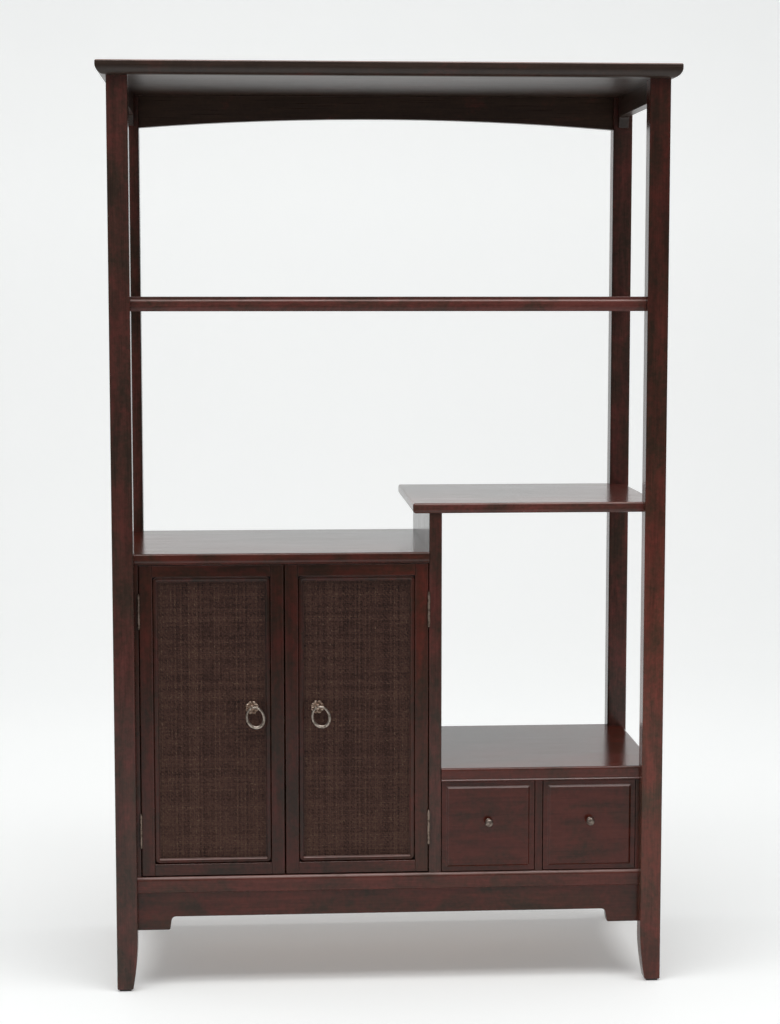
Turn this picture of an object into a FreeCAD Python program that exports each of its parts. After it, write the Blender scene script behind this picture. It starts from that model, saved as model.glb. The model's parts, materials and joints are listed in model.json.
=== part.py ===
import FreeCAD, Part
import math
import os

# Open display cabinet of dark lacquered wood, with a two-door cupboard and two drawers.
# Four full-height posts carry a moulded top board, notched shelves and a raised case.
# Frame: +X to the right of the viewer, +Y to the back, +Z up, origin on the floor
# under the middle of the top board.  All sizes are in millimetres.

Vector = FreeCAD.Vector
os.makedirs("parts", exist_ok=True)

# Overall frame
overall_height = 1600.0
frame_width = 956.0          # over the outer faces of the posts
frame_depth = 406.0
post_side = 36.0
post_arris = 3.0
fine_arris = 2.0             # rounds up to this size are cut flat
overrun = 2.0                # how far a cutting block runs past what it cuts
half_step_share = 0.5        # turns a polygon so that a flat faces each axis

# Feet
glide_height = 3.0
glide_side = 20.0
foot_taper = 8.0             # how much the inner faces draw in at the floor
foot_taper_top = 94.0
foot_arris = 2.0

# Top board
top_thickness = 24.0
top_overhang = 17.0
top_upper_arris = 3.0
top_lower_round = 16.5

# Shelf boards and where their top faces lie
upper_shelf_level = 1204.0
upper_shelf_thickness = 20.0
mid_shelf_level = 851.0
mid_shelf_thickness = 18.0
mid_shelf_overhang = 28.5    # past the divider, at its free left end
mid_shelf_corner = 5.0
cupboard_level = 766.0
cupboard_top_thickness = 18.0
drawer_case_level = 383.5
drawer_top_thickness = 20.0
board_setback = 20.0         # from the front posts' faces to the shelves' front edges
board_rear_inset = 10.0
board_side_inset = 6.0
board_upper_arris = 4.0
board_lower_round = 6.0

# Case under the shelves
case_reveal = 4.0            # doors and drawers lie this far behind the shelf edges
floor_level = 197.5          # top of the case's bottom board
floor_thickness = 16.0
door_bay_width = 504.0
strip_width = 6.5            # narrow strips on the inner faces of the front posts
strip_depth = 20.0
divider_thickness = 22.0
partition_thickness = 14.0
side_panel_thickness = 10.0
back_thickness = 8.0
guide_height = 20.0

# Rails and aprons
rail_height = 28.5
rail_depth = 30.0
rail_nose = 7.0
rail_arris = 2.0
apron_thickness = 18.0
apron_height = 43.0
bracket_length = 56.0
bracket_drop = 23.5
bracket_slant = 3.5
bracket_round = 8.0
bracket_toe = 2.0
side_apron_height = 36.0
rear_apron_end_height = 59.0
rear_apron_middle_height = 41.5
apron_arris = 1.5

# Curved brackets of the top side aprons
top_bracket_length = 5.0
top_bracket_drop = 20.0
top_bracket_slant = 7.0
top_bracket_round = 8.0
top_bracket_toe = 1.0

# Bead under the drawer case's top board
lip_height = 3.5
lip_projection = 1.5
lip_round = 1.6

# Inner shelf and its cleats
inner_shelf_level = 472.0
inner_shelf_thickness = 14.0
inner_shelf_front_gap = 39.0
inner_shelf_rear_gap = 16.0
inner_shelf_side_play = 1.0
cleat_side = 12.0
cleat_inset = 15.0

# Loose tenons in the board joints
tenon_width = 14.0
tenon_thickness = 7.0
tenon_length = 30.0
tenon_play = 0.1
tenon_end_play = 0.5
divider_tenon_offset = 100.0

# Doors
door_side_gap = 1.5
door_meeting_gap = 2.0
door_top_gap = 2.5
door_bottom_gap = 2.0
door_thickness = 20.0
door_stile = 23.0
door_rail = 20.0
door_arris = 1.2
panel_recess = 7.0
panel_thickness = 5.0
groove_depth = 6.0
groove_play = 0.5
bead_width = 9.5
bead_height = 5.0
bead_base = 2.0
bead_corner = 7.0
bead_bevel = 3.0

# Hinges
hinge_length = 57.0
hinge_inset = 80.0           # from a door's end to the middle of the hinge
leaf_thickness = 1.0
leaf_width = 16.0
knuckle_radius = 2.3
knuckle_sides = 12
knuckle_standoff = 0.6       # clear of the case's front face
knuckle_play = 0.3
pin_radius = 1.2
pin_play = 0.05
pin_projection = 2.5         # past the knuckles, at each end

# Catches
catch_length = 34.0
catch_depth = 16.0
catch_height = 13.0
catch_arris = 1.5
catch_offset = 22.0          # from the doors' meeting line to the catch's near end
strike_thickness = 1.2
strike_height = 12.0
strike_gap = 0.3
strike_drop = 1.5

# Ring pulls
pull_inset = 56.0            # from the door's meeting edge to the pull's post
pull_above_middle = 21.7
rosette_radius = 12.0
rosette_valley = 10.2
rosette_lobes = 8
rosette_steps = 4            # straight runs along the edge of a lobe
rosette_thickness = 2.0
rosette_boss_radius = 7.6
rosette_boss_height = 1.6
post_rise = 1.7              # the pull's post stands this far above the rosette's middle
pull_neck_radius = 2.8
pull_reach = 13.0            # from the panel to the ring's wire
pull_eye_radius = 4.6
pull_eye_width = 3.0
pull_tip_radius = 1.5
pull_sides = 16
pull_tip_drop = 8.4          # from the middle of the eye to the end of the tip under it
ring_half_width = 14.6       # to the middle of the wire
ring_half_height = 18.0
ring_lean = 18.0             # degrees that the oval leans
ring_slip = 15.8             # degrees along the oval from its top to the eye
ring_thin = 3.4              # wire diameter at the eye
ring_thick = 5.8             # wire diameter at the bottom
ring_eye_play = 1.25
ring_stations = 28
ring_sides = 10

# Drawers
drawer_side_gap = 1.0
drawer_top_gap = 1.2
drawer_bottom_gap = 1.3
drawer_rest_gap = 0.3
drawer_front_thickness = 20.0
field_border = 8.0
field_bevel = 3.5
field_raise = 3.0
drawer_side_thickness = 10.0
drawer_side_drop = 6.0        # the sides end this far under the top of the front
drawer_bottom_thickness = 4.0
drawer_bottom_rise = 10.0
drawer_back_gap = 0.5
knob_above_middle = 9.0
knob_foot_radius = 5.0
knob_foot_height = 1.6
knob_neck_radius = 2.6
knob_neck_length = 7.5
knob_radius = 7.3
knob_under_length = 3.2      # from the neck to the widest part of the head
knob_dome_length = 5.6
knob_crown_radius = 1.8
knob_sides = 20

# Places worked out from the sizes above
half_width = frame_width / 2
half_depth = frame_depth / 2
post_inner_x = half_width - post_side
post_inner_y = half_depth - post_side
top_underside = overall_height - top_thickness
board_front = -half_depth + board_setback
board_rear = half_depth - board_rear_inset
board_side = half_width - board_side_inset
case_front = board_front + case_reveal
rail_underside = floor_level - rail_height
post_mid_x = half_width - post_side / 2
post_mid_y = half_depth - post_side / 2
door_bay_left = -post_inner_x + strip_width
divider_left = door_bay_left + door_bay_width
divider_right = divider_left + divider_thickness
drawer_bay_right = post_inner_x - strip_width
partition_left = (divider_right + drawer_bay_right - partition_thickness) / 2
partition_right = partition_left + partition_thickness
back_front = post_mid_y - back_thickness / 2
cupboard_underside = cupboard_level - cupboard_top_thickness
drawer_underside = drawer_case_level - drawer_top_thickness
mid_underside = mid_shelf_level - mid_shelf_thickness
side_panel_inner = post_mid_x - side_panel_thickness / 2
panel_face = case_front + panel_recess
door_rear = case_front + door_thickness
door_bottom = floor_level + door_bottom_gap
door_top = cupboard_underside - door_top_gap
meeting_x = (door_bay_left + divider_left) / 2
pin_y = case_front - knuckle_standoff - knuckle_radius
pull_level = (door_bottom + door_top) / 2 + pull_above_middle
eye_level = pull_level + post_rise
eye_y = panel_face - pull_reach
drawer_width = partition_left - divider_right - 2 * drawer_side_gap
drawer_front_bottom = floor_level + drawer_bottom_gap
drawer_front_top = drawer_underside - lip_height - drawer_top_gap
drawer_box_bottom = floor_level + drawer_rest_gap
drawer_rear = back_front - drawer_back_gap
drawer_side_top = drawer_front_top - drawer_side_drop


def block(x_low, x_high, y_low, y_high, z_low, z_high):
    """A box between two values along each axis."""
    corner = Vector(x_low, y_low, z_low)
    return Part.makeBox(x_high - x_low, y_high - y_low, z_high - z_low, corner)


def rounded_outline(corners):
    """A flat closed outline of straight runs; each corner is (point, radius), fine ones cut flat."""
    count = len(corners)
    runs = []
    for index, (point, radius) in enumerate(corners):
        before = (corners[index - 1][0] - point).normalize()
        after = (corners[(index + 1) % count][0] - point).normalize()
        if radius == 0:
            runs.append((point, None, point))
            continue
        half_angle = before.getAngle(after) / 2
        reach = radius / math.tan(half_angle)
        middle = (before + after).normalize()
        centre = point + middle * (radius / math.sin(half_angle))
        crest = centre - middle * radius
        runs.append((point + before * reach, crest, point + after * reach))
    edges = []
    for index, (start, crest, end) in enumerate(runs):
        if crest is not None and corners[index][1] > fine_arris:
            edges.append(Part.Arc(start, crest, end).toShape())
        elif crest is not None:
            edges.append(Part.makeLine(start, end))
        following = runs[(index + 1) % count][0]
        if (following - end).Length > Part.Precision.confusion():
            edges.append(Part.makeLine(end, following))
    return Part.Face(Part.Wire(edges))


def across_x(corners, x_low, x_high):
    """A bar along X; its corners are (y, z, radius)."""
    face = rounded_outline([(Vector(x_low, y, z), radius) for y, z, radius in corners])
    return face.extrude(Vector(x_high - x_low, 0, 0))


def across_y(corners, y_low, y_high):
    """A bar along Y; its corners are (x, z, radius)."""
    face = rounded_outline([(Vector(x, y_low, z), radius) for x, z, radius in corners])
    return face.extrude(Vector(0, y_high - y_low, 0))


def across_z(corners, z_low, z_high):
    """A bar along Z; its corners are (x, y, radius)."""
    face = rounded_outline([(Vector(x, y, z_low), radius) for x, y, radius in corners])
    return face.extrude(Vector(0, 0, z_high - z_low))


def many_sided(centre, radius, across, upwards, sides):
    """Corners of a polygon that stands for a small circle, with flats towards the two directions."""
    points = []
    for number in range(sides):
        turn = 2 * math.pi * (number + half_step_share) / sides
        points.append(centre + (across * math.cos(turn) + upwards * math.sin(turn)) * radius)
    return points + points[:1]


def prism(centre, radius, across, upwards, sides, run):
    """A many-sided bar from a centre along a run."""
    outline = Part.makePolygon(many_sided(centre, radius, across, upwards, sides))
    return Part.Face(outline).extrude(run)


def skinned(sections, ends):
    """A solid of flat facets between polygons with equally many corners; ends closes the first and last."""
    faces = []
    for near, far in zip(sections[:-1], sections[1:]):
        for start in range(len(near) - 1):
            corners = (near[start], near[start + 1], far[start + 1], far[start])
            for pick in (corners[:3], corners[2:] + corners[:1]):
                faces.append(Part.Face(Part.makePolygon(list(pick) + [pick[0]])))
    if ends:
        faces += [Part.Face(Part.makePolygon(section)) for section in (sections[0], sections[-1])]
    shell = Part.Shell(faces)
    shell.sewShape()
    solid = Part.Solid(shell)
    if solid.Volume < 0:
        solid.reverse()
    return solid


def rectangle(u_low, u_high, v_low, v_high, low_round, high_round):
    """Corners of a rectangle with one radius on its two low and one on its two high corners."""
    return [(u_low, v_low, low_round), (u_high, v_low, low_round),
            (u_high, v_high, high_round), (u_low, v_high, high_round)]


def moulded_board(x_low, x_high, y_low, y_high, z_low, z_high, low_round, high_round):
    """A board with the same moulded edge on its four sides, mitred at the corners."""
    along = across_x(rectangle(y_low, y_high, z_low, z_high, low_round, high_round), x_low, x_high)
    over = across_y(rectangle(x_low, x_high, z_low, z_high, low_round, high_round), y_low, y_high)
    return along.common(over)


def without_posts(shape, sides=(-1, 1)):
    """Cuts the square of each post out of a board, on the named sides."""
    for side in sides:
        for end in (-1, 1):
            x_values = sorted((side * post_inner_x, side * (half_width + overrun)))
            y_values = sorted((end * post_inner_y, end * (half_depth + overrun)))
            shape = shape.cut(block(*x_values, *y_values, 0, overall_height))
    return shape


def post_tenons(level, thickness, sides):
    """Tenons between the posts and the ears of a shelf: (centre, way of length, way of width)."""
    height = level - thickness / 2
    ear_middle = (post_inner_x + board_side) / 2
    places = []
    for side in sides:
        for end in (-1, 1):
            centre = Vector(side * ear_middle, end * post_inner_y, height)
            places.append((centre, Vector(0, 1, 0), Vector(1, 0, 0)))
    return places


def divider_tenons():
    """Tenons between the divider and the three boards that it meets."""
    places = []
    middle = (divider_left + divider_right) / 2
    cupboard_middle = cupboard_level - cupboard_top_thickness / 2
    drawer_middle = drawer_case_level - drawer_top_thickness / 2
    for y in (-divider_tenon_offset, divider_tenon_offset):
        for centre, way in ((Vector(divider_left, y, cupboard_middle), Vector(1, 0, 0)),
                            (Vector(divider_right, y, drawer_middle), Vector(1, 0, 0)),
                            (Vector(middle, y, mid_underside), Vector(0, 0, 1))):
            places.append((centre, way, Vector(0, 1, 0)))
    return places


def top_tenons():
    """Upright tenons between the posts and the top board."""
    return [(Vector(side * post_mid_x, end * post_mid_y, top_underside), Vector(0, 0, 1),
             Vector(1, 0, 0)) for side in (-1, 1) for end in (-1, 1)]


def all_tenons():
    """Every tenon of the board joints."""
    return (post_tenons(upper_shelf_level, upper_shelf_thickness, (-1, 1))
            + post_tenons(mid_shelf_level, mid_shelf_thickness, (1,))
            + post_tenons(cupboard_level, cupboard_top_thickness, (-1,))
            + post_tenons(drawer_case_level, drawer_top_thickness, (1,))
            + divider_tenons() + top_tenons())


def tenon(place, play, end_play):
    """One tenon, or its mortise where play widens it and end play lengthens it."""
    centre, way, width_way = place
    half = (way * (tenon_length / 2 + end_play) + width_way * (tenon_width / 2 + play)
            + way.cross(width_way) * (tenon_thickness / 2 + play))
    low, high = centre - half, centre + half
    return block(*sorted((low.x, high.x)), *sorted((low.y, high.y)), *sorted((low.z, high.z)))


def mortised(shape):
    """Cuts the mortises of the tenons whose middles lie in a piece or on its faces."""
    box = shape.BoundBox
    box.enlarge(tenon_play)
    for place in all_tenons():
        if box.isInside(place[0]):
            shape = shape.cut(tenon(place, tenon_play, tenon_end_play))
    return shape


def joint_tenons():
    """Loose tenons of all the board joints."""
    return Part.Compound([tenon(place, 0, 0) for place in all_tenons()])


def leg_outline(outer, sign, place):
    """Side view of a post with its curved inner taper; place turns (u, z) into a point."""
    inner = outer - sign * post_side
    toe = inner + sign * foot_taper
    low = glide_height
    sweep = foot_taper_top - low - foot_arris
    # the taper leaves the straight post on a tangent, so its middle lies a quarter of the way in
    bend = inner + sign * foot_taper / 4
    bend_level = foot_taper_top - sweep / 2
    edges = [Part.makeLine(place(outer, top_underside), place(outer, low + foot_arris)),
             Part.makeLine(place(outer, low + foot_arris), place(outer - sign * foot_arris, low)),
             Part.makeLine(place(outer - sign * foot_arris, low), place(toe + sign * foot_arris, low)),
             Part.makeLine(place(toe + sign * foot_arris, low), place(toe, low + foot_arris)),
             Part.Arc(place(toe, low + foot_arris), place(bend, bend_level),
                      place(inner, foot_taper_top)).toShape(),
             Part.makeLine(place(inner, foot_taper_top), place(inner, top_underside)),
             Part.makeLine(place(inner, top_underside), place(outer, top_underside))]
    return Part.Face(Part.Wire(edges))


def post(side, end):
    """A corner post; side and end say which corner."""
    outer_x, outer_y = side * half_width, end * half_depth
    inner_x, inner_y = side * post_inner_x, end * post_inner_y
    start_x, start_y = min(outer_x, inner_x), min(outer_y, inner_y)
    front_view = leg_outline(outer_x, side, lambda u, z: Vector(u, start_y, z))
    side_view = leg_outline(outer_y, end, lambda u, z: Vector(start_x, u, z))
    shape = front_view.extrude(Vector(0, post_side, 0))
    shape = shape.common(side_view.extrude(Vector(post_side, 0, 0)))
    plan = rectangle(start_x, start_x + post_side, start_y, start_y + post_side, post_arris, post_arris)
    return mortised(shape.common(across_z(plan, 0, overall_height)))


def foot_glides():
    """A low square glide under each foot."""
    glides = []
    shift = (post_side - foot_taper) / 2
    reach = glide_side / 2
    for side in (-1, 1):
        for end in (-1, 1):
            x, y = side * (half_width - shift), end * (half_depth - shift)
            glides.append(block(x - reach, x + reach, y - reach, y + reach, 0, glide_height))
    return Part.Compound(glides)


def top_board():
    """Top board, undercut along its lower edge."""
    x_edge = half_width + top_overhang
    y_edge = half_depth + top_overhang
    board = moulded_board(-x_edge, x_edge, -y_edge, y_edge, top_underside, overall_height,
                          top_lower_round, top_upper_arris)
    return mortised(board)


def shelf_blank(x_low, x_high, level, thickness, low_round):
    """A board with moulded edges, as deep as the shelves."""
    return moulded_board(x_low, x_high, board_front, board_rear, level - thickness, level,
                         low_round, board_upper_arris)


def upper_shelf():
    """Full-width shelf, notched round all four posts."""
    blank = shelf_blank(-board_side, board_side, upper_shelf_level, upper_shelf_thickness,
                        board_lower_round)
    return mortised(without_posts(blank))


def mid_shelf():
    """Right-hand shelf that runs out over the divider to a free, rounded end."""
    x_low = divider_left - mid_shelf_overhang
    blank = shelf_blank(x_low, board_side, mid_shelf_level, mid_shelf_thickness, board_lower_round)
    plan = [(x_low, board_front, mid_shelf_corner), (board_side, board_front, 0),
            (board_side, board_rear, 0), (x_low, board_rear, mid_shelf_corner)]
    rounded = blank.common(across_z(plan, 0, overall_height))
    return mortised(without_posts(rounded, (1,)))


def case_top(side, level, thickness, low_round):
    """A board from one pair of posts to the divider, where its end is square."""
    blank = shelf_blank(-board_side, board_side, level, thickness, low_round)
    ends = sorted((side * board_side, divider_left if side < 0 else divider_right))
    piece = blank.common(block(*ends, -half_depth, half_depth, 0, overall_height))
    return mortised(without_posts(piece, (side,)))


def cupboard_top():
    """Top board of the cupboard, between the left posts and the divider."""
    return case_top(-1, cupboard_level, cupboard_top_thickness, board_lower_round)


def drawer_case_top():
    """Top board of the drawer case, with a bead hanging under its front edge."""
    board = case_top(1, drawer_case_level, drawer_top_thickness, 0)
    lip_front = board_front - lip_projection
    lip_low = drawer_underside - lip_height
    outline = [(lip_front, lip_low, lip_round), (case_front, lip_low, 0),
               (case_front, drawer_underside, 0), (lip_front, drawer_underside, lip_round)]
    return board.fuse(across_x(outline, divider_right, post_inner_x)).removeSplitter()


def divider():
    """Upright panel between the cupboard and the drawers, up to the mid shelf."""
    plan = [(divider_left, case_front, door_arris), (divider_right, case_front, door_arris),
            (divider_right, board_rear, 0), (divider_left, board_rear, 0)]
    shape = mortised(across_z(plan, floor_level, mid_underside))
    for hinge_level in hinge_levels():
        shape = shape.cut(fixed_leaf(1, hinge_level))
    return shape


def bottom_board():
    """Board under the cupboard and the drawers, between the rails."""
    inner = post_mid_x - apron_thickness / 2
    board = block(-inner, inner, board_front + rail_depth, post_mid_y - apron_thickness / 2,
                  floor_level - floor_thickness, floor_level)
    return without_posts(board)


def bottom_front_rail():
    """Front rail with a rounded nose, between the front posts."""
    outline = [(board_front, rail_underside, rail_arris), (board_front + rail_depth, rail_underside, 0),
               (board_front + rail_depth, floor_level, 0), (board_front, floor_level, rail_nose)]
    return across_x(outline, -post_inner_x, post_inner_x)


def bracketed(half_span, top, middle_low, length, drop, slant, inner_round, toe):
    """Outline of an apron whose two ends step down to brackets, as (u, z, radius)."""
    bracket_low = middle_low - drop
    toe_place = half_span - length
    root_place = toe_place - slant
    return [(-half_span, top, 0), (-half_span, bracket_low, 0), (-toe_place, bracket_low, toe),
            (-root_place, middle_low, inner_round), (root_place, middle_low, inner_round),
            (toe_place, bracket_low, toe), (half_span, bracket_low, 0), (half_span, top, 0)]


def front_apron():
    """Apron under the front rail."""
    outline = bracketed(post_inner_x, rail_underside, rail_underside - apron_height, bracket_length,
                        bracket_drop, bracket_slant, bracket_round, bracket_toe)
    return across_y(outline, case_front, case_front + apron_thickness)


def lower_side_rail(side):
    """Deep side rail with the same brackets as the front apron."""
    outline = bracketed(post_inner_y, floor_level, rail_underside - apron_height, bracket_length,
                        bracket_drop, bracket_slant, bracket_round, bracket_toe)
    centre = side * post_mid_x
    return across_x(outline, centre - apron_thickness / 2, centre + apron_thickness / 2)


def lower_rear_rail():
    """Deep plain rail between the rear posts."""
    low = rail_underside - apron_height
    outline = rectangle(post_mid_y - apron_thickness / 2, post_mid_y + apron_thickness / 2,
                        low, floor_level, apron_arris, 0)
    return across_x(outline, -post_inner_x, post_inner_x)


def top_rear_apron():
    """Apron under the top board between the rear posts, arched along its lower edge."""
    low = top_underside - rear_apron_end_height
    crown = top_underside - rear_apron_middle_height
    front = post_mid_y - apron_thickness / 2

    def place(x, z):
        return Vector(x, front, z)

    edges = [Part.Arc(place(-post_inner_x, low), place(0, crown), place(post_inner_x, low)).toShape(),
             Part.makeLine(place(post_inner_x, low), place(post_inner_x, top_underside)),
             Part.makeLine(place(post_inner_x, top_underside), place(-post_inner_x, top_underside)),
             Part.makeLine(place(-post_inner_x, top_underside), place(-post_inner_x, low))]
    return Part.Face(Part.Wire(edges)).extrude(Vector(0, apron_thickness, 0))


def top_side_apron(side):
    """Apron under the top board between a front and a rear post, with a small bracket at each end."""
    outline = bracketed(post_inner_y, top_underside, top_underside - side_apron_height,
                        top_bracket_length, top_bracket_drop, top_bracket_slant,
                        top_bracket_round, top_bracket_toe)
    centre = side * post_mid_x
    return across_x(outline, centre - apron_thickness / 2, centre + apron_thickness / 2)


def side_panel(side, underside):
    """Panel between a front and a rear post, standing on the side rail."""
    values = sorted((side * side_panel_inner, side * (side_panel_inner + side_panel_thickness)))
    return block(*values, -post_inner_y, post_inner_y, floor_level, underside)


def back_panel(x_low, x_high, underside):
    """Thin back of the cupboard or of the drawer case, standing on the rear rail."""
    return block(x_low, x_high, back_front, back_front + back_thickness, floor_level, underside)


def drawer_partition():
    """Upright board between the two drawers."""
    plan = rectangle(partition_left, partition_right, case_front, back_front, door_arris, 0)
    return across_z(plan, floor_level, drawer_underside)


def left_hinge_strip():
    """Strip on the inner face of the front left post, which carries the left door's hinges."""
    shape = block(-post_inner_x, door_bay_left, case_front, case_front + strip_depth,
                  floor_level, cupboard_underside)
    for hinge_level in hinge_levels():
        shape = shape.cut(fixed_leaf(-1, hinge_level))
    return shape


def right_drawer_strip():
    """Strip on the inner face of the front right post, beside the right drawer."""
    return block(drawer_bay_right, post_inner_x, case_front, case_front + strip_depth,
                 floor_level, drawer_underside)


def drawer_guide():
    """Guide that keeps the right drawer straight, from the strip to the rear post."""
    return block(drawer_bay_right, side_panel_inner, case_front + strip_depth, post_inner_y,
                 floor_level, floor_level + guide_height)


def inner_shelf():
    """Loose shelf inside the cupboard."""
    x_low = -side_panel_inner + inner_shelf_side_play
    x_high = divider_left - inner_shelf_side_play
    outline = rectangle(case_front + inner_shelf_front_gap, back_front - inner_shelf_rear_gap,
                        inner_shelf_level - inner_shelf_thickness, inner_shelf_level,
                        door_arris, door_arris)
    return across_x(outline, x_low, x_high)


def shelf_cleats():
    """Two cleats that carry the inner shelf, on the side panel and on the divider."""
    high = inner_shelf_level - inner_shelf_thickness
    y_low = case_front + inner_shelf_front_gap + cleat_inset
    y_high = back_front - inner_shelf_rear_gap - cleat_inset
    return Part.Compound([block(start, start + cleat_side, y_low, y_high, high - cleat_side, high)
                          for start in (-side_panel_inner, divider_left - cleat_side)])


def door_edges(side):
    """Hinge edge and meeting edge of a door; side is -1 for the left door."""
    if side < 0:
        return door_bay_left + door_side_gap, meeting_x - door_meeting_gap / 2
    return divider_left - door_side_gap, meeting_x + door_meeting_gap / 2


def hinge_levels():
    """Heights of the middles of a door's hinges."""
    return (door_bottom + hinge_inset, door_top - hinge_inset)


def hinge_parts(side, level, on_door):
    """One half of a hinge: its leaf, the knuckles that it owns, and the bore for the pin."""
    carrier = door_edges(side)[0] if on_door else (door_bay_left if side < 0 else divider_left)
    inward = side if not on_door else -side
    pin_x = door_edges(side)[0] + side * door_side_gap / 2
    low, high = level - hinge_length / 2, level + hinge_length / 2
    third = hinge_length / 3
    x_values = sorted((carrier, carrier + inward * leaf_thickness))
    leaf = block(*x_values, case_front, case_front + leaf_width, low, high)
    if on_door:
        spans = [(low + third + knuckle_play / 2, high - third - knuckle_play / 2)]
    else:
        spans = [(low, low + third - knuckle_play / 2), (high - third + knuckle_play / 2, high)]
    for start, end in spans:
        leaf = leaf.fuse(block(*x_values, pin_y, case_front, start, end))
        leaf = leaf.fuse(prism(Vector(pin_x, pin_y, start), knuckle_radius, Vector(1, 0, 0),
                               Vector(0, 1, 0), knuckle_sides, Vector(0, 0, end - start)))
    bore = Part.makeCylinder(pin_radius + pin_play, hinge_length, Vector(pin_x, pin_y, low))
    return leaf.removeSplitter().cut(bore)


def fixed_leaf(side, level):
    """The half of a hinge that is let into the strip or the divider."""
    return hinge_parts(side, level, False)


def fixed_hinge_leaves():
    """Fixed halves of the four hinges."""
    return Part.Compound([fixed_leaf(side, level) for side in (-1, 1) for level in hinge_levels()])


def door_hinge_leaves(side):
    """Moving halves of one door's two hinges."""
    return Part.Compound([hinge_parts(side, level, True) for level in hinge_levels()])


def hinge_pins():
    """Pins of the four hinges, which stand out a little at both ends."""
    pins = []
    for side in (-1, 1):
        pin_x = door_edges(side)[0] + side * door_side_gap / 2
        for level in hinge_levels():
            start = Vector(pin_x, pin_y, level - hinge_length / 2 - pin_projection)
            pins.append(Part.makeCylinder(pin_radius, hinge_length + 2 * pin_projection, start))
    return Part.Compound(pins)


def door_groove(side):
    """The space that a door's panel takes in its frame, with its play."""
    x_values = sorted(door_edges(side))
    reach = groove_depth
    return block(x_values[0] + door_stile - reach, x_values[1] - door_stile + reach,
                 panel_face, panel_face + panel_thickness,
                 door_bottom + door_rail - reach, door_top - door_rail + reach)


def door_stiles(side):
    """The two upright members of a door, grooved for the panel."""
    x_low, x_high = sorted(door_edges(side))
    stiles = []
    for start in (x_low, x_high - door_stile):
        plan = rectangle(start, start + door_stile, case_front, door_rear, door_arris, 0)
        stile = across_z(plan, door_bottom, door_top).cut(door_groove(side))
        for level in hinge_levels():
            stile = stile.cut(hinge_parts(side, level, True))
        stiles.append(stile)
    return Part.Compound(stiles)


def door_rails(side):
    """The two level members of a door, between its stiles."""
    x_low, x_high = sorted(door_edges(side))
    rails = []
    for start in (door_bottom, door_top - door_rail):
        rail = block(x_low + door_stile, x_high - door_stile, case_front, door_rear,
                     start, start + door_rail)
        rails.append(rail.cut(door_groove(side)))
    return Part.Compound(rails)


def door_panel(side):
    """Woven cane panel on its backing, held in the frame's groove."""
    x_values = sorted(door_edges(side))
    reach = groove_depth - groove_play
    return block(x_values[0] + door_stile - reach, x_values[1] - door_stile + reach,
                 panel_face, panel_face + panel_thickness,
                 door_bottom + door_rail - reach, door_top - door_rail + reach)


def bead_ring(x_low, x_high, z_low, z_high, corner, front, rear):
    """A closed rectangular ring of the bead's width, mitred inside."""
    outer = across_y(rectangle(x_low, x_high, z_low, z_high, corner, corner), front, rear)
    return outer.cut(block(x_low + bead_width, x_high - bead_width, front, rear,
                           z_low + bead_width, z_high - bead_width))


def door_bead(side):
    """Raised bead with rounded outer corners, planted round the panel."""
    x_values = sorted(door_edges(side))
    sizes = (x_values[0] + door_stile, x_values[1] - door_stile,
             door_bottom + door_rail, door_top - door_rail)
    crest = panel_face - bead_height
    shape = bead_ring(*sizes, bead_corner, crest, panel_face)
    front_edges = [edge for edge in shape.Edges if edge.BoundBox.YMax < crest + bead_base / 2]
    eased = shape.makeChamfer(bead_bevel, front_edges)
    return eased.fuse(bead_ring(*sizes, 0, panel_face - bead_base, panel_face)).removeSplitter()


def catch_ends(side):
    """Ends of a catch and of its strike plate, along X."""
    return sorted((meeting_x + side * catch_offset, meeting_x + side * (catch_offset + catch_length)))


def door_catches():
    """Magnetic catches under the cupboard's top board, one for each door."""
    catches = []
    front = door_rear + strike_thickness + strike_gap
    for side in (-1, 1):
        outline = rectangle(*catch_ends(side), cupboard_underside - catch_height, cupboard_underside,
                            catch_arris, 0)
        catches.append(across_y(outline, front, front + catch_depth))
    return Part.Compound(catches)


def strike_plate(side):
    """Thin steel plate on the back of a door, opposite its catch."""
    high = door_top - strike_drop
    outline = rectangle(*catch_ends(side), high - strike_height, high, catch_arris, catch_arris)
    return across_y(outline, door_rear, door_rear + strike_thickness)


def pull_x(side):
    """Where a door's pull stands, along X."""
    return door_edges(side)[1] + side * pull_inset


def rosette(x):
    """Flat plate whose edge has rounded lobes."""
    points = []
    count = rosette_lobes * rosette_steps
    for number in range(count):
        angle = 2 * math.pi * number / count
        # the edge swells and sinks once for every lobe
        swell = abs(math.sin(angle * rosette_lobes / 2))
        radius = rosette_valley + (rosette_radius - rosette_valley) * swell
        points.append(Vector(x + radius * math.sin(angle), panel_face,
                             pull_level + radius * math.cos(angle)))
    return Part.Face(Part.makePolygon(points + points[:1])).extrude(Vector(0, -rosette_thickness, 0))


def ring_plate(side):
    """Scalloped rosette with a boss and a post that ends in an eye and a tip, one casting."""
    x = pull_x(side)
    forwards = Vector(0, -1, 0)
    aside, upwards = Vector(1, 0, 0), Vector(0, 0, 1)
    boss = prism(Vector(x, panel_face, pull_level), rosette_boss_radius, aside, upwards,
                 pull_sides, forwards * (rosette_thickness + rosette_boss_height))
    neck = prism(Vector(x, panel_face, eye_level), pull_neck_radius, aside, upwards,
                 pull_sides, forwards * (pull_reach - pull_eye_radius / 2))
    eye = Vector(x, eye_y, eye_level)
    eye_start = eye - aside * (pull_eye_width / 2)
    drum = Part.makeCylinder(pull_eye_radius, pull_eye_width, eye_start, aside)
    tip = prism(eye, pull_tip_radius, aside, forwards, pull_sides, upwards * -pull_tip_drop)
    bore = Part.makeCylinder(ring_thin / 2 + ring_eye_play, pull_eye_width, eye_start, aside)
    return rosette(x).fuse([boss, neck, drum, tip]).removeSplitter().cut(bore)


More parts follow.
